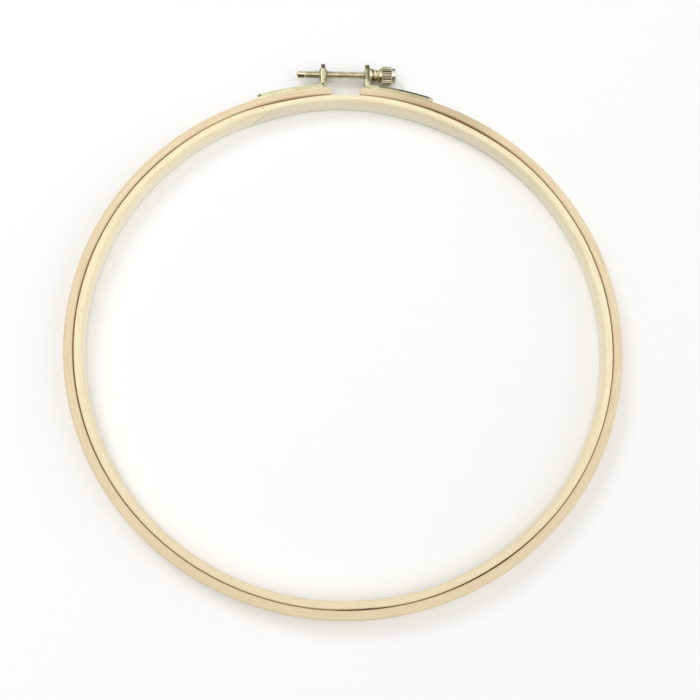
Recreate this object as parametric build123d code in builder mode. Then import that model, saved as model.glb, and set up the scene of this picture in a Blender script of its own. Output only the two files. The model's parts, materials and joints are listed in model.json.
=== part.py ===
from build123d import *
import os
from math import asin, cos, degrees, radians, sin, sqrt

os.makedirs("parts", exist_ok=True)

# A hand embroidery hoop lies flat. Its axis is Z, +Y runs from its centre to the clamp, and +X
# runs along the clamp screw to the screw's head. The origin is the centre of the inner ring's
# bore, at half the rings' depth. Angles around the hoop are counted from +Y, clockwise.

# Wooden rings
inner_ring_diameter = 203.2
inner_band = 2.9
outer_band = 3.5
ring_gap = 0.4
ring_depth = 8.0
edge_round = 0.9
split_width = 12.2
split_edge_round = 0.4

# Clamp brackets, bent from strip
strip_thickness = 1.8
strip_width = 6.6
strip_edge_round = 0.3
leg_length = 28.5
ear_setback = 2.3
bend_inner_radius = 0.9
tip_round = 1.4
screw_height = 7.95
ear_above_screw = 4.6
seat_clearance = 0.05

# Prong at the far end of each bracket, pressed into the wood
prong_thickness = 1.1
prong_width = 2.8
prong_depth = 2.2
prong_bevel = 0.4
prong_clearance = 0.05

# Brad that nails each bracket to the wood
brad_head_diameter = 3.0
brad_head_height = 0.6
brad_head_round = 0.4
brad_shank_diameter = 1.4
brad_in_wood = 2.6
brad_from_ear = 12.5
brad_clearance = 0.05

# Holes for the screw, and the raised collar around the left-hand one
tapped_hole_clearance = 0.1
plain_hole_clearance = 0.1
collar_wall = 0.75
collar_height = 0.6
collar_round = 0.3

# Clamp screw
thread_diameter = 3.2
thread_pitch = 0.9
thread_depth = 0.32
thread_crest = 0.09
thread_root = 0.12
thread_lead = 0.35
groove_overrun = 0.1
thread_past_left_ear = 6.6
tip_diameter = 2.7
tip_length = 3.7
tip_dome = 1.0
flange_diameter = 5.8
flange_length = 0.6
waist_diameter = 4.6
waist_bead_diameter = 5.3
waist_length = 1.8
hollow_share = 0.3
shoulder_diameter = 6.2
shoulder_length = 1.6
shoulder_chamfer = 0.7
barrel_diameter = 7.5
barrel_length = 4.3
barrel_chamfer = 0.35
knurl_count = 26
knurl_depth = 0.3
rim_diameter = 6.2
rim_length = 1.6
rim_chamfer = 0.6
slot_width = 0.9
slot_depth = 1.0
slot_turn = -25

# Washer between the right-hand ear and the screw's head
washer_diameter = 6.4
washer_thickness = 1.0
washer_edge_round = 0.2
washer_hole_clearance = 0.15
washer_clearance = 0.05

# How far a cutting shape runs past what it cuts
overrun = 1.0

# Worked out from the values above
inner_ring_radius = inner_ring_diameter / 2
inner_bore_radius = inner_ring_radius - inner_band
outer_bore_radius = inner_ring_radius + ring_gap
outer_ring_radius = outer_bore_radius + outer_band
seat_radius = outer_ring_radius + seat_clearance
leg_radius = seat_radius + strip_thickness
ear_inner = split_width / 2 + ear_setback
ear_outer = ear_inner + strip_thickness
screw_y = outer_ring_radius + screw_height
ear_top = screw_y + ear_above_screw
heel_angle = degrees(asin(ear_inner / seat_radius))
tip_angle = heel_angle + degrees(leg_length / seat_radius)
prong_angle = tip_angle - degrees(prong_thickness / 2 / seat_radius)
brad_angle = heel_angle + degrees(brad_from_ear / seat_radius)
screw_line = Axis((0, screw_y, 0), (1, 0, 0))
tapped_radius = thread_diameter / 2 + tapped_hole_clearance
thread_x = -ear_outer - thread_past_left_ear
tip_x = thread_x - tip_length
flange_x = ear_outer + washer_clearance + washer_thickness + washer_clearance
waist_x = flange_x + flange_length
bead_x = waist_x + waist_length / 4
bead_end_x = bead_x + waist_length / 2
shoulder_x = waist_x + waist_length
barrel_x = shoulder_x + shoulder_length
rim_x = barrel_x + barrel_length
head_x = rim_x + rim_length


def on_hoop(angle, radius):
    """The point at this angle and radius, as X and Y."""
    return radius * sin(radians(angle)), radius * cos(radians(angle))


def facing_out(angle, radius):
    """A plane that faces away from the hoop's centre, with its own X along the rim."""
    out_x, out_y = on_hoop(angle, 1)
    return Plane(
        origin=(radius * out_x, radius * out_y, 0),
        x_dir=(out_y, -out_x, 0),
        z_dir=(out_x, out_y, 0),
    )


def ring(bore_radius, outside_radius):
    """A full wooden ring with rounded edges."""
    with BuildPart() as full:
        with BuildSketch(Plane.XZ):
            with Locations(((bore_radius + outside_radius) / 2, 0)):
                RectangleRounded(outside_radius - bore_radius, ring_depth, edge_round)
        revolve(axis=Axis.Z)
    return full.part


def prong_pocket(angle):
    """What the prong at this angle takes out of the wood."""
    with BuildPart() as pocket:
        with BuildSketch(facing_out(angle, leg_radius)):
            Rectangle(prong_thickness + 2 * prong_clearance, prong_width + 2 * prong_clearance)
        extrude(amount=-(strip_thickness + seat_clearance + prong_depth + prong_clearance))
    return pocket.part


def brad_hole(angle):
    """What the brad at this angle takes out of its bracket and the wood."""
    with BuildPart() as hole:
        with BuildSketch(facing_out(angle, leg_radius + overrun)):
            Circle(brad_shank_diameter / 2 + brad_clearance)
        extrude(amount=-(overrun + strip_thickness + seat_clearance + brad_in_wood + brad_clearance))
    return hole.part


def brad(angle):
    """A round-headed brad, driven in towards the hoop's centre."""
    with BuildPart() as nail:
        with BuildSketch(facing_out(angle, leg_radius + brad_clearance)):
            Circle(brad_shank_diameter / 2)
        extrude(amount=-(brad_clearance + strip_thickness + seat_clearance + brad_in_wood))
        with BuildSketch(facing_out(angle, leg_radius + brad_clearance)):
            Circle(brad_head_diameter / 2)
        extrude(amount=brad_head_height)
        rims = nail.edges().filter_by(GeomType.CIRCLE)
        fillet(rims.sort_by_distance((0, 0, 0))[-1], radius=brad_head_round)
    return nail.part


def bracket_blank():
    """The right-hand bracket without its holes: leg, bend, round-topped ear and prong."""
    heel = Vector(ear_inner, sqrt(seat_radius**2 - ear_inner**2), 0)
    inside_corner = Vector(ear_outer, sqrt(leg_radius**2 - ear_outer**2), 0)
    corner_angle = degrees(asin(ear_outer / leg_radius))
    tip_outside = Vector(*on_hoop(tip_angle, leg_radius), 0)
    with BuildPart() as blank:
        with BuildSketch() as side_view:
            with BuildLine():
                Polyline(heel, (ear_inner, ear_top), (ear_outer, ear_top), inside_corner)
                CenterArc((0, 0), leg_radius, 90 - corner_angle, corner_angle - tip_angle)
                Line(tip_outside, on_hoop(tip_angle, seat_radius))
                CenterArc((0, 0), seat_radius, 90 - tip_angle, tip_angle - heel_angle)
            make_face()
            corners = side_view.vertices()
            fillet(corners.sort_by_distance(heel)[0], radius=bend_inner_radius + strip_thickness)
            corners = side_view.vertices()
            fillet(corners.sort_by_distance(inside_corner)[0], radius=bend_inner_radius)
            corners = side_view.vertices()
            fillet(corners.sort_by_distance(tip_outside)[0], radius=tip_round)
        extrude(amount=strip_width / 2, both=True)
        # The ear's top is a half round
        with BuildSketch(Plane.YZ.offset(ear_inner - overrun)):
            with Locations((ear_top, 0)):
                Rectangle(strip_width, strip_width + 2 * overrun)
            with Locations((ear_top - strip_width / 2, 0)):
                Circle(strip_width / 2, mode=Mode.SUBTRACT)
        extrude(amount=strip_thickness + 2 * overrun, mode=Mode.SUBTRACT)
        front_and_back = blank.faces().filter_by(Axis.Z)
        fillet(front_and_back.edges(), radius=strip_edge_round)
        with BuildSketch(facing_out(prong_angle, seat_radius + strip_thickness / 2)):
            Rectangle(prong_thickness, prong_width)
        extrude(amount=-(strip_thickness / 2 + seat_clearance + prong_depth))
        point = blank.faces().sort_by_distance((0, 0, 0))[0]
        chamfer(point.edges().filter_by(Axis.Z), length=prong_bevel)
        add(brad_hole(brad_angle), mode=Mode.SUBTRACT)
    return blank.part


# The inner ring is one bent strip, glued end to end
with BuildPart() as inner_ring:
    add(ring(inner_bore_radius, inner_ring_radius))

# The outer ring is one bent strip, left open at the clamp
with BuildPart() as outer_ring:
    add(ring(outer_bore_radius, outer_ring_radius))
    with BuildSketch(Plane.XZ.offset(-outer_bore_radius / 2)):
        Rectangle(split_width, ring_depth + 2 * overrun)
    extrude(amount=-outer_ring_radius, mode=Mode.SUBTRACT)
    end_faces = outer_ring.faces().filter_by(Axis.X)
    fillet(end_faces.edges(), radius=split_edge_round)
    for side in (-1, 1):
        add(prong_pocket(side * prong_angle), mode=Mode.SUBTRACT)
        add(brad_hole(side * brad_angle), mode=Mode.SUBTRACT)

# The right-hand bracket has a plain hole that the screw turns in
with BuildPart() as right_bracket:
    add(bracket_blank())
    with BuildSketch(Plane.YZ.offset(ear_inner - overrun)):
        with Locations((screw_y, 0)):
            Circle(thread_diameter / 2 + plain_hole_clearance)
    extrude(amount=strip_thickness + 2 * overrun, mode=Mode.SUBTRACT)

# The left-hand bracket has the tapped hole, in a collar raised on both faces of its ear
with BuildPart() as collar:
    with BuildSketch(Plane.YZ.offset(-ear_outer - collar_height)):
        with Locations((screw_y, 0)):
            Circle(tapped_radius + collar_wall)
    extrude(amount=strip_thickness + 2 * collar_height)
    fillet(collar.edges().filter_by(GeomType.CIRCLE), radius=collar_round)

with BuildPart() as left_bracket:
    add(mirror(bracket_blank(), about=Plane.YZ))
    add(collar.part)
    with BuildSketch(Plane.YZ.offset(-ear_outer - collar_height - overrun)):
        with Locations((screw_y, 0)):
            Circle(tapped_radius)
    extrude(amount=strip_thickness + 2 * (collar_height + overrun), mode=Mode.SUBTRACT)

with BuildPart() as left_brad:
    add(brad(-brad_angle))

with BuildPart() as right_brad:
    add(brad(brad_angle))

# The washer lies against the right-hand ear
with BuildPart() as washer:
    with BuildSketch(Plane.YZ.offset(ear_outer + washer_clearance)):
        with Locations((screw_y, 0)):
            Circle(washer_diameter / 2)
            Circle(thread_diameter / 2 + washer_hole_clearance, mode=Mode.SUBTRACT)
    extrude(amount=washer_thickness)
    rims = washer.edges().filter_by(GeomType.CIRCLE).group_by(SortBy.RADIUS)[-1]
    fillet(rims, radius=washer_edge_round)

# The groove between the screw's threads, wound right-handed
with BuildPart() as groove:
    with BuildLine() as winding:
        Helix(
            pitch=thread_pitch,
            height=flange_x - thread_pitch / 2 - thread_x,
            radius=thread_diameter / 2 - thread_depth,
            center=(thread_x, screw_y, 0),
            direction=(1, 0, 0),
        )
    turn = winding.line
    half_root = thread_root / 2
    half_mouth = (thread_pitch - thread_crest) / 2
    flare = (half_mouth - half_root) / thread_depth
    half_outside = half_root + flare * (thread_depth + groove_overrun)
    with BuildSketch(Plane(origin=turn @ 0, x_dir=(1, 0, 0), z_dir=turn % 0)):
        with BuildLine():
            Polyline(
                (-half_root, 0),
                (half_root, 0),
                (half_outside, thread_depth + groove_overrun),
                (-half_outside, thread_depth + groove_overrun),
                close=True,
            )
        make_face()
    sweep(path=turn, is_frenet=True)

# The clamp screw is turned from one bar: tip, thread, flange, waist, shoulder, barrel and rim
waist_y = screw_y + waist_diameter / 2
flange_step = (flange_diameter - waist_diameter) / 2
shoulder_step = (shoulder_diameter - waist_diameter) / 2 - shoulder_chamfer
left_hollow_x = waist_x + hollow_share * (bead_x - waist_x)
right_hollow_x = shoulder_x - hollow_share * (shoulder_x - bead_end_x)
with BuildPart() as clamp_screw:
    with BuildSketch() as half_section:
        with BuildLine():
            Polyline(
                (tip_x, screw_y),
                (tip_x, screw_y + tip_diameter / 2),
                (thread_x, screw_y + tip_diameter / 2),
                (thread_x + thread_lead, screw_y + thread_diameter / 2),
                (flange_x, screw_y + thread_diameter / 2),
                (flange_x, screw_y + flange_diameter / 2),
                (waist_x, screw_y + flange_diameter / 2),
            )
            # The waist is a rounded bead between two hollows
            ThreePointArc(
                (waist_x, waist_y + flange_step),
                (left_hollow_x, waist_y + hollow_share * flange_step),
                (bead_x, waist_y),
            )
            ThreePointArc(
                (bead_x, waist_y),
                ((bead_x + bead_end_x) / 2, screw_y + waist_bead_diameter / 2),
                (bead_end_x, waist_y),
            )
            ThreePointArc(
                (bead_end_x, waist_y),
                (right_hollow_x, waist_y + hollow_share * shoulder_step),
                (shoulder_x, waist_y + shoulder_step),
            )
            Polyline(
                (shoulder_x, waist_y + shoulder_step),
                (shoulder_x + shoulder_chamfer, screw_y + shoulder_diameter / 2),
                (barrel_x, screw_y + shoulder_diameter / 2),
                (barrel_x, screw_y + barrel_diameter / 2 - barrel_chamfer),
                (barrel_x + barrel_chamfer, screw_y + barrel_diameter / 2),
                (rim_x - barrel_chamfer, screw_y + barrel_diameter / 2),
                (rim_x, screw_y + barrel_diameter / 2 - barrel_chamfer),
                (rim_x, screw_y + rim_diameter / 2),
                (head_x - rim_chamfer, screw_y + rim_diameter / 2),
                (head_x, screw_y + rim_diameter / 2 - rim_chamfer),
                (head_x, screw_y),
                (tip_x, screw_y),
            )
        make_face()
        tip_corner = half_section.vertices().sort_by_distance((tip_x, screw_y + tip_diameter / 2, 0))
        fillet(tip_corner[0], radius=tip_dome)
    revolve(axis=screw_line)
    # Straight knurl around the barrel
    with BuildSketch(Plane.YZ.offset(barrel_x)):
        with Locations((screw_y, 0)):
            with PolarLocations(barrel_diameter / 2, knurl_count):
                Rectangle(sqrt(2) * knurl_depth, sqrt(2) * knurl_depth, rotation=45)
    extrude(amount=barrel_length, mode=Mode.SUBTRACT)
    # Screwdriver slot
    with BuildSketch(Plane.YZ.offset(head_x)):
        with Locations((screw_y, 0)):
            Rectangle(slot_width, rim_diameter + overrun, rotation=slot_turn)
    extrude(amount=-slot_depth, mode=Mode.SUBTRACT)
    add(groove.part, mode=Mode.SUBTRACT)

inner_ring.part.label = "inner_ring"
outer_ring.part.label = "outer_ring"
left_bracket.part.label = "left_bracket"
right_bracket.part.label = "right_bracket"
left_brad.part.label = "left_brad"
right_brad.part.label = "right_brad"
washer.part.label = "washer"
clamp_screw.part.label = "clamp_screw"

export_step(inner_ring.part, "parts/inner_ring.step")
export_step(outer_ring.part, "parts/outer_ring.step")
export_step(left_bracket.part, "parts/left_bracket.step")
export_step(right_bracket.part, "parts/right_bracket.step")
export_step(left_brad.part, "parts/left_brad.step")
export_step(right_brad.part, "parts/right_brad.step")
export_step(washer.part, "parts/washer.step")
export_step(clamp_screw.part, "parts/clamp_screw.step")
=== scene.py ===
"""A hand embroidery hoop that lies on a white table: two bent wooden rings and a brass clamp.

Lengths are in metres. The hoop's axis is Z, +Y runs from its centre to the clamp, and +X runs along
the clamp screw to its head. Angles around the hoop are counted from +Y, clockwise.
"""

import json
from math import asin, cos, exp, pi, radians, sin, sqrt, tau

import bpy
from mathutils import Matrix, Vector, noise


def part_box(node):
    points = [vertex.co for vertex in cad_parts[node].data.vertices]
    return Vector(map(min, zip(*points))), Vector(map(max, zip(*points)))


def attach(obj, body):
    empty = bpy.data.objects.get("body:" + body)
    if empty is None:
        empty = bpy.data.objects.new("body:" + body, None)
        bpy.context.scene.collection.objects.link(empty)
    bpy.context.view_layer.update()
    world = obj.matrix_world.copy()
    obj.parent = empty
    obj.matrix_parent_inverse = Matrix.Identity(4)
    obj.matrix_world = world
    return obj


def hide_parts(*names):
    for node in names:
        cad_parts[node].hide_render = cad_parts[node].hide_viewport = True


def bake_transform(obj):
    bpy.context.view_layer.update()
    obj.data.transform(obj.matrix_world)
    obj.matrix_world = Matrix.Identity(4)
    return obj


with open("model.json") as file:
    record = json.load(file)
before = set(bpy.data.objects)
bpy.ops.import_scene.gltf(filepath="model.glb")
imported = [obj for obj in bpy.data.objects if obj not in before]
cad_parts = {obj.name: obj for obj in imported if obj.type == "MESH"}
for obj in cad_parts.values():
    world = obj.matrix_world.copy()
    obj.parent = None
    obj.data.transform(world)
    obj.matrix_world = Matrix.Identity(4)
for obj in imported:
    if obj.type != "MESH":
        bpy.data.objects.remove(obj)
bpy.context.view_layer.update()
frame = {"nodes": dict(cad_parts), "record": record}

mm = 0.001

# The camera, as it was fitted to the rings and the clamp in the photo
image_width = 700
sensor_width = 36.0
view_tilt = radians(-16.816)
view_yaw = radians(2.191)
view_roll = radians(-0.377)
view_distance = 312.9 * mm
view_across = 1.36 * mm
view_down = 8.47 * mm
pixels_per_metre = 2647.8

# The rings, from the frame
inner_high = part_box("inner_ring")[1]
outer_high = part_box("outer_ring")[1]
bore = next(m for m in frame["record"]["mounts"] if m["name"] == "inner_ring_bore")
inner_bore_radius = bore["dims"]["r_mm"] * mm
inner_ring_radius = inner_high.x
outer_ring_radius = outer_high.x
half_depth = outer_high.z
ring_gap = 0.4 * mm
outer_bore_radius = inner_ring_radius + ring_gap
inner_middle = (inner_bore_radius + inner_ring_radius) / 2
outer_middle = (outer_bore_radius + outer_ring_radius) / 2
split_width = 12.2 * mm

# How the wood's edges are rounded, and how uneven the strips are: by how much at most, over what
# length, and how far apart the patterns lie in the noise that they come from
edge_round = 0.9 * mm
split_edge_round = 0.4 * mm
edge_unevenness = 0.16 * mm
face_unevenness = 0.07 * mm
gap_unevenness = 0.05 * mm
wall_unevenness = 0.09 * mm
wave_length = 34 * mm
wave_row = (7.3, 3.1)

# How far the inner strip stands off the outer one: the least gap, and the angles where the strips
# stand further apart, each with its spread along the ring and the gap that it adds
snug_gap = 0.12 * mm
loose_spots = [
    (radians(25), radians(15), 0.75 * mm),
    (radians(66), radians(32), 0.26 * mm),
    (radians(146), radians(10), 0.22 * mm),
    (radians(174), radians(5), 0.25 * mm),
    (radians(-85), radians(38), 0.25 * mm),
    (radians(-48), radians(14), 0.22 * mm),
    (radians(-17), radians(9), 0.65 * mm),
]

# The inner ring's glued joint: a long taper, whose thin end crosses the inner wall at a slant
joint_angle = radians(-20.6)
joint_length = 34 * mm
joint_slant = -1.5
thin_end = 0.09 * mm
glue_line = 0.02 * mm

# How the joint shows: a glue line at its thin end, and greyer wood for a stretch behind it
glue_edge = (0.2 * mm, 0.6 * mm)
glue_share = 0.3
joint_fade = (3 * mm, 24 * mm)
joint_share = 0.3

# A pin knot in the inner ring's face: its place along the strip, across it and up, and its size
pin_knot = (radians(340.2) * inner_middle, 0.3 * mm, 3.95 * mm)
knot_edge = (0.22 * mm, 0.5 * mm)
knot_share = 0.75

# How finely the strips are meshed
section_steps = 16
wall_steps = 6
strip_step = 1.0 * mm
split_round_steps = 4

# The clamp screw
screw_low, screw_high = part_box("clamp_screw")
screw_y = (screw_low.y + screw_high.y) / 2


class Nodes:
    """Shorthand for building a node tree."""

    def __init__(self, tree):
        self.tree = tree
        tree.nodes.clear()

    def add(self, kind, settings=None, **sockets):
        """A new node. Each socket gets a value or another node's output.

        A socket goes by its name, or by its place, as in i0.
        """
        node = self.tree.nodes.new(kind)
        for name, value in (settings or {}).items():
            setattr(node, name, value)
        for name, value in sockets.items():
            key = int(name[1:]) if name[0] == "i" and name[1:].isdigit() else name.replace("_", " ")
            if isinstance(value, bpy.types.NodeSocket):
                self.tree.links.new(value, node.inputs[key])
            else:
                node.inputs[key].default_value = value
        return node

    def maths(self, operation, first, second=0.0):
        """One sum on two numbers."""
        return self.add("ShaderNodeMath", {"operation": operation}, i0=first, i1=second).outputs[0]

    def measure(self, operation, first, second=(0, 0, 0)):
        """One number from one or two vectors."""
        node = self.add("ShaderNodeVectorMath", {"operation": operation}, i0=first, i1=second)
        return node.outputs["Value"]

    def ramp(self, value, low, high, to_low=0.0, to_high=1.0):
        """A smooth step from to_low to to_high as the value goes from low to high."""
        return self.add(
            "ShaderNodeMapRange",
            {"interpolation_type": "SMOOTHSTEP"},
            Value=value,
            From_Min=low,
            From_Max=high,
            To_Min=to_low,
            To_Max=to_high,
        ).outputs[0]

    def mix(self, share, first, second):
        """Two colours mixed, with this share of the second."""
        node = self.add("ShaderNodeMix", {"data_type": "RGBA"}, i0=share, i6=first, i7=second)
        return node.outputs[2]

    def noise(self, place, stretch, detail):
        """Noise whose features have these sizes in metres along X, Y and Z."""
        scaled = self.add(
            "ShaderNodeVectorMath",
            {"operation": "MULTIPLY"},
            i0=place,
            i1=tuple(1 / size for size in stretch),
        ).outputs[0]
        texture = self.add(
            "ShaderNodeTexNoise",
            {"normalize": True},
            Vector=scaled,
            Scale=1.0,
            Detail=detail,
            Roughness=0.5,
        )
        return texture.outputs["Fac"]


def colour(red, green, blue):
    """A colour as the screen shows it, 0 to 255, turned into linear light."""
    def linear(level):
        share = level / 255
        return share / 12.92 if share <= 0.04045 else ((share + 0.055) / 1.055) ** 2.4

    return (linear(red), linear(green), linear(blue), 1.0)


def material(name):
    """A new material and its empty node tree."""
    made = bpy.data.materials.new(name)
    made.use_nodes = True
    return made, Nodes(made.node_tree)


# How the wood's markings show: the noise that each follows, the noise's levels between which it
# comes in, its greatest share and its tone
wood_layers = [
    ("bands", (0.32, 0.66), 1.0, "middle"),
    ("patches", (0.4, 0.72), 0.45, "middle"),
    ("flushes", (0.46, 0.72), 0.7, "blush"),
    ("streaks", (0.46, 0.78), 0.62, "deep"),
    ("fibres", (0.35, 0.8), 0.22, "deep"),
    ("dashes", (0.72, 0.84), 0.5, "fleck"),
]
wood_detail = {"bands": 2, "streaks": 3, "fibres": 1, "dashes": 0, "patches": 2, "flushes": 1}

# The wood's surface, whose roughness follows the streaks between two of their levels
streak_levels = (0.2, 0.8)
wood_roughness = (0.46, 0.6)
wood_specular = 0.45
wood_relief = 0.03 * mm
wood_relief_strength = 0.35
streak_relief = 0.6

# How plated metal shows: the size of its clouds and specks, the noise levels between which each
# comes in and its share, and what the clouds and scratches add to the roughness between their levels
cloud_size = (3.5 * mm, 3.5 * mm, 3.5 * mm)
speck_size = (0.45 * mm, 0.45 * mm, 0.45 * mm)
cloud_edge = (0.35, 0.68)
speck_edge = (0.6, 0.8)
speck_share = 0.45
scratch_edge = (0.5, 0.85)
scratch_share = 0.25
cloud_levels = (0.3, 0.7)
cloud_roughness = (-0.05, 0.07)
scratch_levels = (0.3, 0.8)
scratch_roughness = 0.08
scratch_relief = 0.008 * mm
scratch_relief_strength = 0.3


def wood(name, marks, tones, sides=(), tints=(), knots=()):
    """Smooth-sanded wood. The grain follows the strip, by the mesh's own strip coordinates.

    Each of the sides is a colour, its share, the two places across the strip between which it comes
    in, and the heights between which it fades out. Each of the tints is a colour, its share, its
    place along the strip, and the distances from there at which it starts to fade and ends. The
    knots are places on the strip.
    """
    made, nodes = material(name)
    place = nodes.add("ShaderNodeAttribute", {"attribute_name": "strip"}).outputs["Vector"]
    start = nodes.add("ShaderNodeAttribute", {"attribute_name": "from_joint"}).outputs["Fac"]
    along, across, up = nodes.add("ShaderNodeSeparateXYZ", Vector=place).outputs
    noises = {mark: nodes.noise(place, size, wood_detail[mark]) for mark, size in marks.items()}
    grain = tones["pale"]
    for mark, edge, share, tone_name in wood_layers:
        strength = nodes.ramp(noises[mark], *edge, 0.0, share)
        grain = nodes.mix(strength, grain, tones[tone_name])
    for tone, share, middle, fade, end in tints:
        apart = nodes.maths("ABSOLUTE", nodes.maths("SUBTRACT", along, middle))
        grain = nodes.mix(nodes.ramp(apart, fade, end, share, 0.0), grain, tone)
    for tone, share, first, last, heights in sides:
        lower = nodes.ramp(up, *heights, share, 0.0)
        strength = nodes.maths("MULTIPLY", nodes.ramp(across, first, last), lower)
        grain = nodes.mix(strength, grain, tone)
    grain = nodes.mix(nodes.ramp(start, *joint_fade, joint_share, 0.0), grain, joint_tone)
    grain = nodes.mix(nodes.ramp(start, *glue_edge, glue_share, 0.0), grain, glue_tone)
    for knot in knots:
        apart = nodes.measure("DISTANCE", place, knot)
        grain = nodes.mix(nodes.ramp(apart, *knot_edge, knot_share, 0.0), grain, tones["fleck"])
    rough = nodes.ramp(noises["streaks"], *streak_levels, *wood_roughness)
    relief = nodes.maths("MULTIPLY", noises["streaks"], streak_relief)
    relief = nodes.maths("ADD", relief, noises["fibres"])
    bump = nodes.add(
        "ShaderNodeBump",
        Height=relief,
        Strength=wood_relief_strength,
        Distance=wood_relief,
    )
    surface = nodes.add(
        "ShaderNodeBsdfPrincipled",
        Base_Color=grain,
        Roughness=rough,
        Normal=bump.outputs[0],
    )
    surface.inputs["Specular IOR Level"].default_value = wood_specular
    nodes.add("ShaderNodeOutputMaterial", Surface=surface.outputs[0])
    return made


def plated(name, bright, warm, stain, dark, finish, brushed, marks):
    """Bright plating on pressed or turned metal.

    Brushed is the size of the fine scratches along X, Y and Z. The marks are the places painted dark:
    painted shade and dark reflections, and patina in hollows.
    """
    made, nodes = material(name)
    place = nodes.add("ShaderNodeTexCoord").outputs["Object"]
    clouds = nodes.noise(place, cloud_size, detail=3)
    specks = nodes.noise(place, speck_size, detail=2)
    scratches = nodes.noise(place, brushed, detail=2)
    tint = nodes.mix(nodes.ramp(clouds, *cloud_edge), bright, warm)
    tint = nodes.mix(nodes.ramp(specks, *speck_edge, 0.0, speck_share), tint, stain)
    tint = nodes.mix(nodes.ramp(scratches, *scratch_edge, 0.0, scratch_share), tint, stain)
    # painted shade and dark reflections, and patina, from the marks
    tint = nodes.mix(painted_shade_and_patina(nodes, place, specks, marks), tint, dark)
    smoothest, roughest = (finish + change for change in cloud_roughness)
    cloudy = nodes.ramp(clouds, *cloud_levels, smoothest, roughest)
    scratchy = nodes.ramp(scratches, *scratch_levels, 0.0, scratch_roughness)
    rough = nodes.maths("ADD", cloudy, scratchy)
    bump = nodes.add(
        "ShaderNodeBump",
        Height=scratches,
        Strength=scratch_relief_strength,
        Distance=scratch_relief,
    )
    surface = nodes.add(
        "ShaderNodeBsdfPrincipled",
        Base_Color=tint,
        Roughness=rough,
        Normal=bump.outputs[0],
    )
    surface.inputs["Metallic"].default_value = 1.0
    nodes.add("ShaderNodeOutputMaterial", Surface=surface.outputs[0])
    return made


# The camera
def make_camera():
    """The camera at the photo's viewing angle."""
    lens = bpy.data.cameras.new("camera")
    lens.sensor_width = sensor_width
    lens.lens = pixels_per_metre * view_distance / image_width * sensor_width
    lens.clip_start = view_distance / 100
    lens.clip_end = view_distance * 100
    camera = bpy.data.objects.new("camera", lens)
    bpy.context.scene.collection.objects.link(camera)
    turn = Matrix.Rotation(view_roll, 4, "Z") @ Matrix.Rotation(view_yaw, 4, "Y")
    turn = turn @ Matrix.Rotation(view_tilt, 4, "X")
    eye = Matrix.Translation((view_across, -view_down, view_distance))
    camera.matrix_world = Matrix.Translation((0, 0, half_depth)) @ turn.transposed() @ eye
    bpy.context.scene.camera = camera


make_camera()


# The wooden rings
def at(angle, radius, height):
    """The point at this angle, radius and height."""
    return Vector((radius * sin(angle), radius * cos(angle), height))


def wave(place, row):
    """A smooth unevenness from 0 to 1 along a strip. Each row is another pattern."""
    spot = Vector((place / wave_length, row * wave_row[0], row * wave_row[1]))
    return 0.5 + 0.5 * noise.noise(spot)


def stand_off(angle):
    """The gap between the two strips at this angle."""
    gap = snug_gap
    for spot, spread, extra in loose_spots:
        apart = (angle - spot + pi) % tau - pi
        gap += extra * exp(-((apart / spread) ** 2))
    return gap


def section(inside, outside, half, corner, first, last):
    """The part from first to last of a rounded strip's outline, as points (radius, height).

    The strip goes from inside to outside. Its outline is cut off square at first and last.
    """
    def height(radius):
        near = min(radius - inside, outside - radius)
        if near >= corner:
            return half
        return half - corner + sqrt(max(corner**2 - (corner - near) ** 2, 0))

    turns = [pi * k / section_steps for k in range(section_steps + 1)]
    radii = [last + (first - last) * (1 - cos(turn)) / 2 for turn in turns]
    top = [(r, height(r)) for r in radii]
    bottom = [(r, -z) for r, z in reversed(top)]
    inner_wall = wall_points(top[-1], bottom[0])
    outer_wall = wall_points(bottom[-1], top[0])
    return top + inner_wall + bottom + outer_wall


def wall_points(start, end):
    """The points between the two ends of a straight wall."""
    shares = [k / wall_steps for k in range(1, wall_steps)]
    return [(start[0] + (end[0] - start[0]) * s, start[1] + (end[1] - start[1]) * s) for s in shares]


def strip_mesh(name, columns, middle_radius):
    """A closed mesh from columns around the strip.

    Each column is how far it lies outwards of its true place, its distance from the glued joint
    and its outline, a list of (angle, radius, height). The two ends are flat, have sharp edges and
    take the piece's second material.
    """
    count = len(columns[0][2])
    points = []
    for shift, _, outline in columns:
        points += [at(angle, radius + shift, height) for angle, radius, height in outline]
    faces = []
    for c in range(len(columns) - 1):
        this, other = c * count, (c + 1) * count
        for k in range(count):
            following = (k + 1) % count
            faces.append((this + k, this + following, other + following, other + k))
    last = (len(columns) - 1) * count
    faces.append(tuple(reversed(range(count))))
    faces.append(tuple(range(last, last + count)))
    mesh = bpy.data.meshes.new(name)
    mesh.from_pydata(points, [], faces)
    strip = mesh.attributes.new("strip", "FLOAT_VECTOR", "POINT")
    places = []
    for _, _, outline in columns:
        for angle, radius, height in outline:
            places += [angle * middle_radius, radius - middle_radius, height]
    strip.data.foreach_set("vector", places)
    from_joint = mesh.attributes.new("from_joint", "FLOAT", "POINT")
    from_joint.data.foreach_set("value", [start for _, start, outline in columns for _ in outline])
    mesh.shade_smooth()
    crisp = set()
    for cap in mesh.polygons[-2:]:
        cap.use_smooth = False
        cap.material_index = 1
        crisp.update(cap.edge_keys)
    sharp = mesh.attributes.new("sharp_edge", "BOOLEAN", "EDGE")
    sharp.data.foreach_set("value", [edge.key in crisp for edge in mesh.edges])
    piece = bpy.data.objects.new(name, mesh)
    bpy.context.scene.collection.objects.link(piece)
    piece.modifiers.new("even_shading", "WEIGHTED_NORMAL").keep_sharp = True
    return piece


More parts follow.
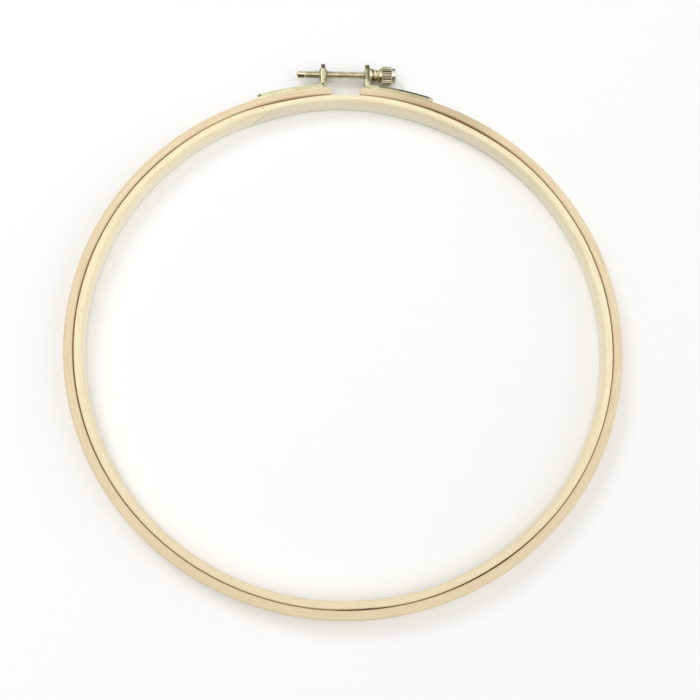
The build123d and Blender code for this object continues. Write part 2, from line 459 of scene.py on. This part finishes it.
def inner_strip():
    """The inner ring's strip, once round and tapered at both ends, which lie on each other."""
    thin_share = thin_end / (inner_ring_radius - inner_bore_radius)
    taper = joint_length / inner_middle
    total = tau + taper * (1 - 2 * thin_share)
    steps = round(total * inner_middle / strip_step)
    columns = []
    for step in range(steps + 1):
        turned = total * step / steps
        place = turned * inner_middle
        shift = ring_gap - stand_off(joint_angle + turned)
        inside = inner_bore_radius + wall_unevenness * wave(place, 1)
        outside = inner_ring_radius - gap_unevenness * wave(place, 2)
        half = half_depth - face_unevenness * wave(place, 3)
        corner = edge_round - edge_unevenness * wave(place, 4)
        thickness = outside - inside
        first, last = inside, outside
        grown = turned / taper + thin_share
        if grown < 1:
            last = inside + thickness * grown - glue_line / 2
        worn = (turned - tau) / taper + thin_share
        if worn > 0:
            first = inside + thickness * worn + glue_line / 2
        outline = section(inside, outside, half, corner, first, last)
        angle = joint_angle + turned
        slanted = [(angle - joint_slant * z / inner_middle, r, z) for r, z in outline]
        columns.append((shift, place, slanted))
    return strip_mesh("inner_ring_strip", columns, inner_middle)


def outer_strip(name, side):
    """One half of the outer ring's strip, from its cut end at the clamp to the ring's far side.

    It has no glued joint, so each column counts as far from one.
    """
    far_from_joint = outer_middle
    length = pi * outer_middle - split_width / 2
    steps = round(length / strip_step)
    rows = []
    for k in range(split_round_steps):
        turn = radians(90 * k / split_round_steps)
        rows.append((split_edge_round * (1 - cos(turn)), split_edge_round * (1 - sin(turn))))
    straight = length - split_edge_round
    rows += [(split_edge_round + straight * k / steps, 0.0) for k in range(steps + 1)]
    columns = []
    for along, inset in rows:
        place = split_width / 2 + along
        if side < 0:
            place = tau * outer_middle - place
        inside = outer_bore_radius + inset + gap_unevenness * wave(place, 5)
        outside = outer_ring_radius - inset - wall_unevenness * wave(place, 6)
        half = half_depth - inset - face_unevenness * wave(place, 7)
        corner = edge_round - inset - edge_unevenness * wave(place, 8)
        column = []
        for r, z in section(inside, outside, half, corner, inside, outside):
            start = asin(split_width / 2 / r)
            angle = start + (pi - start) * along / length
            if side < 0:
                angle = tau - angle
            column.append((angle, r, z))
        columns.append((0.0, far_from_joint, column))
    if side < 0:
        columns.reverse()
    return strip_mesh(name, columns, outer_middle)


# The wood's tones by the side of the strip, painted light and shade: the inner ring's wall grows paler
# towards its foot as painted light bounced off the white table, and the sides that face each other in
# the gap are darker over their whole height as painted shade in the gap
half_inner_band = (inner_ring_radius - inner_bore_radius) / 2
half_outer_band = (outer_ring_radius - outer_bore_radius) / 2
wall_bounce_fade = (-3 * mm, 4 * mm)
whole_height = (half_depth, 2 * half_depth)
wall_bounce_reach = (0.5 * mm - half_inner_band, 0.04 * mm - half_inner_band)
inner_gap_shade_reach = (half_inner_band - 0.15 * mm, half_inner_band - 0.03 * mm)
outer_gap_shade_reach = (0.15 * mm - half_outer_band, 0.03 * mm - half_outer_band)
gap_shade_share = 0.35
inner_wall_light_and_gap_shade = [
    # painted light: the wall grows paler towards its foot, as light bounced off the white table
    (colour(245, 236, 214), 1.0, *wall_bounce_reach, wall_bounce_fade),
    # painted shade in the gap between the rings
    (colour(172, 134, 88), gap_shade_share, *inner_gap_shade_reach, whole_height),
]
# painted shade in the gap between the rings
outer_gap_shade_sides = [(colour(166, 128, 84), gap_shade_share, *outer_gap_shade_reach, whole_height)]

# Painted shade along the strip: both rings are a little darker round the far side, where less light
# falls, and the outer one carries a painted shadow beside the right-hand bracket
far_side = pi * inner_ring_radius
far_fade = (50 * mm, 170 * mm)
far_shade_share = 0.45
inner_painted_shade = [(colour(220, 200, 164), far_shade_share, far_side, *far_fade)]
outer_painted_shade = [
    (colour(220, 200, 165), far_shade_share, far_side, *far_fade),
    # painted shadow of the right-hand bracket on the outer ring
    (colour(192, 170, 134), 0.6, radians(22) * outer_bore_radius, 10 * mm, 34 * mm),
]
joint_tone = colour(214, 206, 190)
glue_tone = colour(150, 124, 84)

# The size of the wood's markings along the strip, across it and through its depth
long_grain = {
    "bands": (110 * mm, 1.5 * mm, 2.4 * mm),
    "streaks": (13 * mm, 0.45 * mm, 0.5 * mm),
    "fibres": (5 * mm, 0.12 * mm, 0.12 * mm),
    "dashes": (2.2 * mm, 0.2 * mm, 0.3 * mm),
    "patches": (26 * mm, 7 * mm, 9 * mm),
    "flushes": (15 * mm, 2.5 * mm, 4 * mm),
}
end_grain = {
    "bands": (6 * mm, 0.5 * mm, 6 * mm),
    "streaks": (0.3 * mm, 0.3 * mm, 0.5 * mm),
    "fibres": (0.12 * mm, 0.12 * mm, 0.12 * mm),
    "dashes": (0.2 * mm, 0.25 * mm, 0.25 * mm),
    "patches": (4 * mm, 2 * mm, 3 * mm),
    "flushes": (4 * mm, 2 * mm, 3 * mm),
}
pale_wood = wood(
    "pale_wood",
    long_grain,
    tones={
        "pale": colour(252, 240, 205),
        "middle": colour(247, 232, 192),
        "deep": colour(229, 210, 165),
        "blush": colour(246, 227, 194),
        "fleck": colour(176, 142, 96),
    },
    sides=inner_wall_light_and_gap_shade,
    tints=inner_painted_shade,
    knots=[pin_knot],
)
pale_wood_end = wood(
    "pale_wood_end",
    end_grain,
    tones={
        "pale": colour(236, 222, 188),
        "middle": colour(222, 204, 165),
        "deep": colour(196, 172, 128),
        "blush": colour(226, 204, 170),
        "fleck": colour(168, 138, 96),
    },
)
tan_wood = wood(
    "tan_wood",
    long_grain,
    tones={
        "pale": colour(238, 222, 186),
        "middle": colour(231, 211, 171),
        "deep": colour(209, 185, 142),
        "blush": colour(233, 208, 176),
        "fleck": colour(165, 132, 88),
    },
    sides=outer_gap_shade_sides,
    tints=outer_painted_shade,
)
tan_wood_end = wood(
    "tan_wood_end",
    end_grain,
    tones={
        "pale": colour(222, 202, 164),
        "middle": colour(208, 184, 144),
        "deep": colour(180, 152, 110),
        "blush": colour(214, 186, 154),
        "fleck": colour(150, 120, 80),
    },
)

inner_piece = inner_strip()
inner_piece.data.materials.append(pale_wood)
inner_piece.data.materials.append(pale_wood_end)
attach(inner_piece, "inner_ring")
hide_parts("inner_ring")

left_half = outer_strip("outer_ring_left_half", -1)
right_half = outer_strip("outer_ring_right_half", 1)
for half_ring in (left_half, right_half):
    half_ring.data.materials.append(tan_wood)
    half_ring.data.materials.append(tan_wood_end)
    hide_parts("outer_ring")
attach(left_half, "hoop")
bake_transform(right_half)

# Where the clamp's metal is painted dark: painted shade and dark reflections on the brackets and the
# screw, and patina in the screw's thread roots and knurl grooves. Each mark is a share and the
# stretches that it
# lies in: along X, Y or Z, or by the distance from the hoop's axis (rim) or from the screw's (core). A
# stretch that ends at anywhere has no limit there.
ear_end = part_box("left_bracket")[1].y
leg_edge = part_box("left_bracket")[1].z - 0.5 * mm
leg_rim = 107.35 * mm
mark_softness = 0.12 * mm
mark_raggedness = 0.3 * mm
anywhere = 1.0
upper_edge = (leg_edge, anywhere)
# painted dark reflection at the ears' far ends
ear_tip_shade = (0.85, {"y": (ear_end - 3.7 * mm, anywhere)})
barrel_stretch = (15.4 * mm, 19.5 * mm)
# Painted shade and dark reflections on the left bracket: the ear's far end, beside the collar on both
# sides of the ear, in the bend's crease and at the leg's tip
left_painted_shade = [
    ear_tip_shade,
    (0.8, {"x": (-11.2 * mm, -10.3 * mm), "y": (110.5 * mm, 117 * mm)}),
    (0.6, {"x": (-8.3 * mm, -7.5 * mm), "y": (110.5 * mm, 117 * mm)}),
    (0.8, {"x": (-9.75 * mm, -8.75 * mm), "y": (106.1 * mm, 107.3 * mm)}),
    (0.8, {"x": (-36.4 * mm, -34.7 * mm), "rim": (leg_rim - 1.1 * mm, anywhere), "z": upper_edge}),
]
# Painted shade and dark reflections on the right bracket: the ear's far end, down the ear and along
# the leg's far edge
right_painted_shade = [
    ear_tip_shade,
    (0.8, {"x": (9.2 * mm, 10.0 * mm), "y": (108.6 * mm, anywhere)}),
    (0.45, {"x": (7.9 * mm, 9.2 * mm), "y": (109.5 * mm, anywhere)}),
    (0.75, {"x": (14 * mm, 22 * mm), "rim": (leg_rim - 0.85 * mm, anywhere), "z": upper_edge}),
    (0.92, {"x": (22 * mm, 34.7 * mm), "rim": (leg_rim - 0.95 * mm, anywhere), "z": upper_edge}),
]
# Patina in the thread's roots and the knurl's grooves, and painted shade and dark reflections
# elsewhere on the screw
screw_patina_and_shade = [
    # patina in the thread's roots
    (0.35, {"x": (-16.7 * mm, 11.3 * mm), "core": (-anywhere, 1.36 * mm)}),
    # painted shade and dark reflections: under the left thread, along the upper edge, under the flange
    # and waist, and over the barrel but for a lighter band
    (0.5, {"x": (-16.7 * mm, -11.0 * mm), "y": (111.5 * mm, 112.5 * mm)}),
    (0.6, {"x": (-20.3 * mm, 8.4 * mm), "y": (114.3 * mm, 115.3 * mm)}),
    (0.6, {"x": (11.4 * mm, 15.1 * mm), "y": (108.5 * mm, 111.3 * mm)}),
    (0.4, {"x": barrel_stretch, "core": (-anywhere, 4.0 * mm), "z": (1.8 * mm, anywhere)}),
    (0.4, {"x": barrel_stretch, "core": (-anywhere, 4.0 * mm), "z": (-anywhere, 0.9 * mm)}),
    # patina in the knurl's grooves
    (0.7, {"x": barrel_stretch, "core": (-anywhere, 3.6 * mm)}),
    # painted shade and dark reflections on the waist, the flange, the rim's top and underside and
    # under the tip
    (0.3, {"x": (11.7 * mm, 13.9 * mm), "core": (-anywhere, 2.45 * mm)}),
    (0.7, {"x": (11.2 * mm, 11.9 * mm), "core": (1.8 * mm, 3.4 * mm)}),
    (0.75, {"x": (19.75 * mm, 21.6 * mm), "y": (114.4 * mm, anywhere)}),
    (0.5, {"x": (20.2 * mm, 21.6 * mm), "y": (109 * mm, 111.9 * mm)}),
    (0.8, {"x": (-20.0 * mm, -17.2 * mm), "y": (111.5 * mm, 112.75 * mm)}),
]


def between(nodes, value, first, last):
    """1 where the value lies between first and last, with a soft border."""
    rise = nodes.ramp(value, first - mark_softness, first + mark_softness)
    fall = nodes.ramp(value, last - mark_softness, last + mark_softness, 1.0, 0.0)
    return nodes.maths("MULTIPLY", rise, fall)


def painted_shade_and_patina(nodes, place, specks, marks):
    """How dark the metal is painted at this place: painted shade and dark reflections, and patina in
    hollows.
    """
    x, y, z = nodes.add("ShaderNodeSeparateXYZ", Vector=place).outputs
    flat = nodes.add("ShaderNodeCombineXYZ", X=x, Y=y)
    rim = nodes.measure("LENGTH", flat.outputs[0])
    beside = nodes.add("ShaderNodeCombineXYZ", X=nodes.maths("SUBTRACT", y, screw_y), Y=z)
    core = nodes.measure("LENGTH", beside.outputs[0])
    ragged = nodes.maths("MULTIPLY", nodes.maths("SUBTRACT", specks, 0.5), mark_raggedness)
    values = {"x": x, "y": y, "z": z, "rim": rim, "core": core}
    values = {name: nodes.maths("ADD", value, ragged) for name, value in values.items()}
    dark = 0.0
    for share, stretches in marks:
        mark = share
        for name, (first, last) in stretches.items():
            mark = nodes.maths("MULTIPLY", between(nodes, values[name], first, last), mark)
        dark = nodes.maths("MAXIMUM", dark, mark)
    return dark


strip_finish = {
    "bright": colour(240, 236, 202),
    "warm": colour(226, 220, 172),
    "stain": colour(166, 160, 112),
    "dark": colour(86, 86, 60),
    "finish": 0.26,
    "brushed": (4 * mm, 0.3 * mm, 0.14 * mm),
}
# The two brackets share one plating and differ only by their painted shade marks
left_metal = plated("left_brass_plated_strip", marks=left_painted_shade, **strip_finish)
right_metal = plated("right_brass_plated_strip", marks=right_painted_shade, **strip_finish)
screw_metal = plated(
    "antique_brass_and_painted_shade",
    bright=colour(244, 237, 213),
    warm=colour(216, 202, 166),
    stain=colour(116, 98, 64),
    dark=colour(70, 54, 32),
    finish=0.17,
    brushed=(0.1 * mm, 2 * mm, 2 * mm),
    marks=screw_patina_and_shade,
)
brad_metal = plated(
    "brass_nail",
    bright=colour(240, 230, 184),
    warm=colour(222, 206, 152),
    stain=colour(150, 128, 80),
    dark=colour(96, 80, 50),
    finish=0.34,
    brushed=(0.5 * mm, 0.5 * mm, 0.5 * mm),
    marks=[],
)
finishes = {
    "left_bracket": left_metal,
    "right_bracket": right_metal,
    "left_brad": brad_metal,
    "right_brad": brad_metal,
    "washer": screw_metal,
    "clamp_screw": screw_metal,
}
for node_name, finish in finishes.items():
    node = frame["nodes"][node_name]
    node.data.materials.clear()
    node.data.materials.append(finish)


# The table and the light
table_reach = 6.0
white = (1.0, 1.0, 1.0, 1.0)
table_white = (0.95, 0.95, 0.95, 1.0)
paper = (0.85, 0.85, 0.85, 1.0)

# The light tent: its plain level, the dark place over the camera, by how far it swings from the
# zenith towards -Y and how far it spreads sideways, and soft round patches, each with the direction
# of its middle, the angles in degrees where it starts to fade and where it ends, and what it adds
tent_level = 0.665
camera_swing = (48, 58, 76, 82)
camera_spread = (0.18, 0.42)
camera_level = 0.85
tent_patches = [
    ((0.0, -0.22, 1.0), 14, 30, 1.0),
    ((-0.1, 0.55, 0.8), 8, 22, 0.25),
    ((0.5, 0.7, 0.5), 12, 36, -0.5),
    ((1.0, -0.1, 0.45), 15, 45, 0.95),
]
least_level = 0.02


def make_table():
    """A white table top that shows white and still takes the hoop's shadow."""
    quarters = ((-1, -1), (1, -1), (1, 1), (-1, 1))
    corners = [(x * table_reach, y * table_reach, -half_depth) for x, y in quarters]
    mesh = bpy.data.meshes.new("table_top")
    mesh.from_pydata(corners, [], [(0, 1, 2, 3)])
    table = bpy.data.objects.new("table_top", mesh)
    bpy.context.scene.collection.objects.link(table)
    made, nodes = material("white_table")
    path = nodes.add("ShaderNodeLightPath").outputs
    seen = nodes.maths("MAXIMUM", path["Is Camera Ray"], path["Is Glossy Ray"])
    seen = nodes.maths("MAXIMUM", seen, path["Is Transmission Ray"])
    surface = nodes.add("ShaderNodeBsdfDiffuse", Color=nodes.mix(seen, paper, table_white))
    nodes.add("ShaderNodeOutputMaterial", Surface=surface.outputs[0])
    mesh.materials.append(made)


def patch(nodes, towards, aim, full, end, level):
    """A soft round patch of the tent. It adds its level inside the full angle and fades to its end."""
    middle = tuple(Vector(aim).normalized())
    nearness = nodes.measure("DOT_PRODUCT", towards, middle)
    return nodes.ramp(nearness, cos(radians(end)), cos(radians(full)), 0.0, level)


def make_world():
    """A light tent: the same level all round, but for the camera's dark place and the patches."""
    world = bpy.data.worlds.new("light_tent")
    bpy.context.scene.world = world
    world.use_nodes = True
    nodes = Nodes(world.node_tree)
    towards = nodes.add("ShaderNodeTexCoord").outputs["Generated"]
    x, y, z = nodes.add("ShaderNodeSeparateXYZ", Vector=towards).outputs
    swing = nodes.maths("ARCTAN2", nodes.maths("MULTIPLY", y, -1.0), z)
    near, nearer, further, far = (radians(angle) for angle in camera_swing)
    sideways = nodes.maths("ABSOLUTE", x)
    dark = nodes.ramp(swing, near, nearer)
    dark = nodes.maths("MULTIPLY", dark, nodes.ramp(swing, further, far, 1.0, 0.0))
    dark = nodes.maths("MULTIPLY", dark, nodes.ramp(sideways, *camera_spread, 1.0, 0.0))
    level = nodes.maths("SUBTRACT", tent_level, nodes.maths("MULTIPLY", dark, camera_level))
    for tent_patch in tent_patches:
        level = nodes.maths("ADD", level, patch(nodes, towards, *tent_patch))
    level = nodes.maths("MAXIMUM", level, least_level)
    back = nodes.add("ShaderNodeBackground", Color=white, Strength=level)
    nodes.add("ShaderNodeOutputWorld", Surface=back.outputs[0])


def lamp(name, towards, distance, size, level):
    """A square soft lamp that lights an upward face at the origin to this level."""
    light = bpy.data.lights.new(name, "AREA")
    light.shape = "SQUARE"
    light.size = size
    aim = Vector(towards).normalized()
    light.energy = level * pi**2 * distance**2 / aim.z
    body = bpy.data.objects.new(name, light)
    bpy.context.scene.collection.objects.link(body)
    turn = aim.to_track_quat("Z", "Y").to_matrix().to_4x4()
    body.matrix_world = Matrix.Translation(aim * distance) @ turn


make_table()
make_world()
lamp("key_lamp", towards=(-0.52, 0.5, 0.7), distance=1.6, size=0.6, level=0.16)

bpy.context.scene.view_settings.view_transform = "Standard"
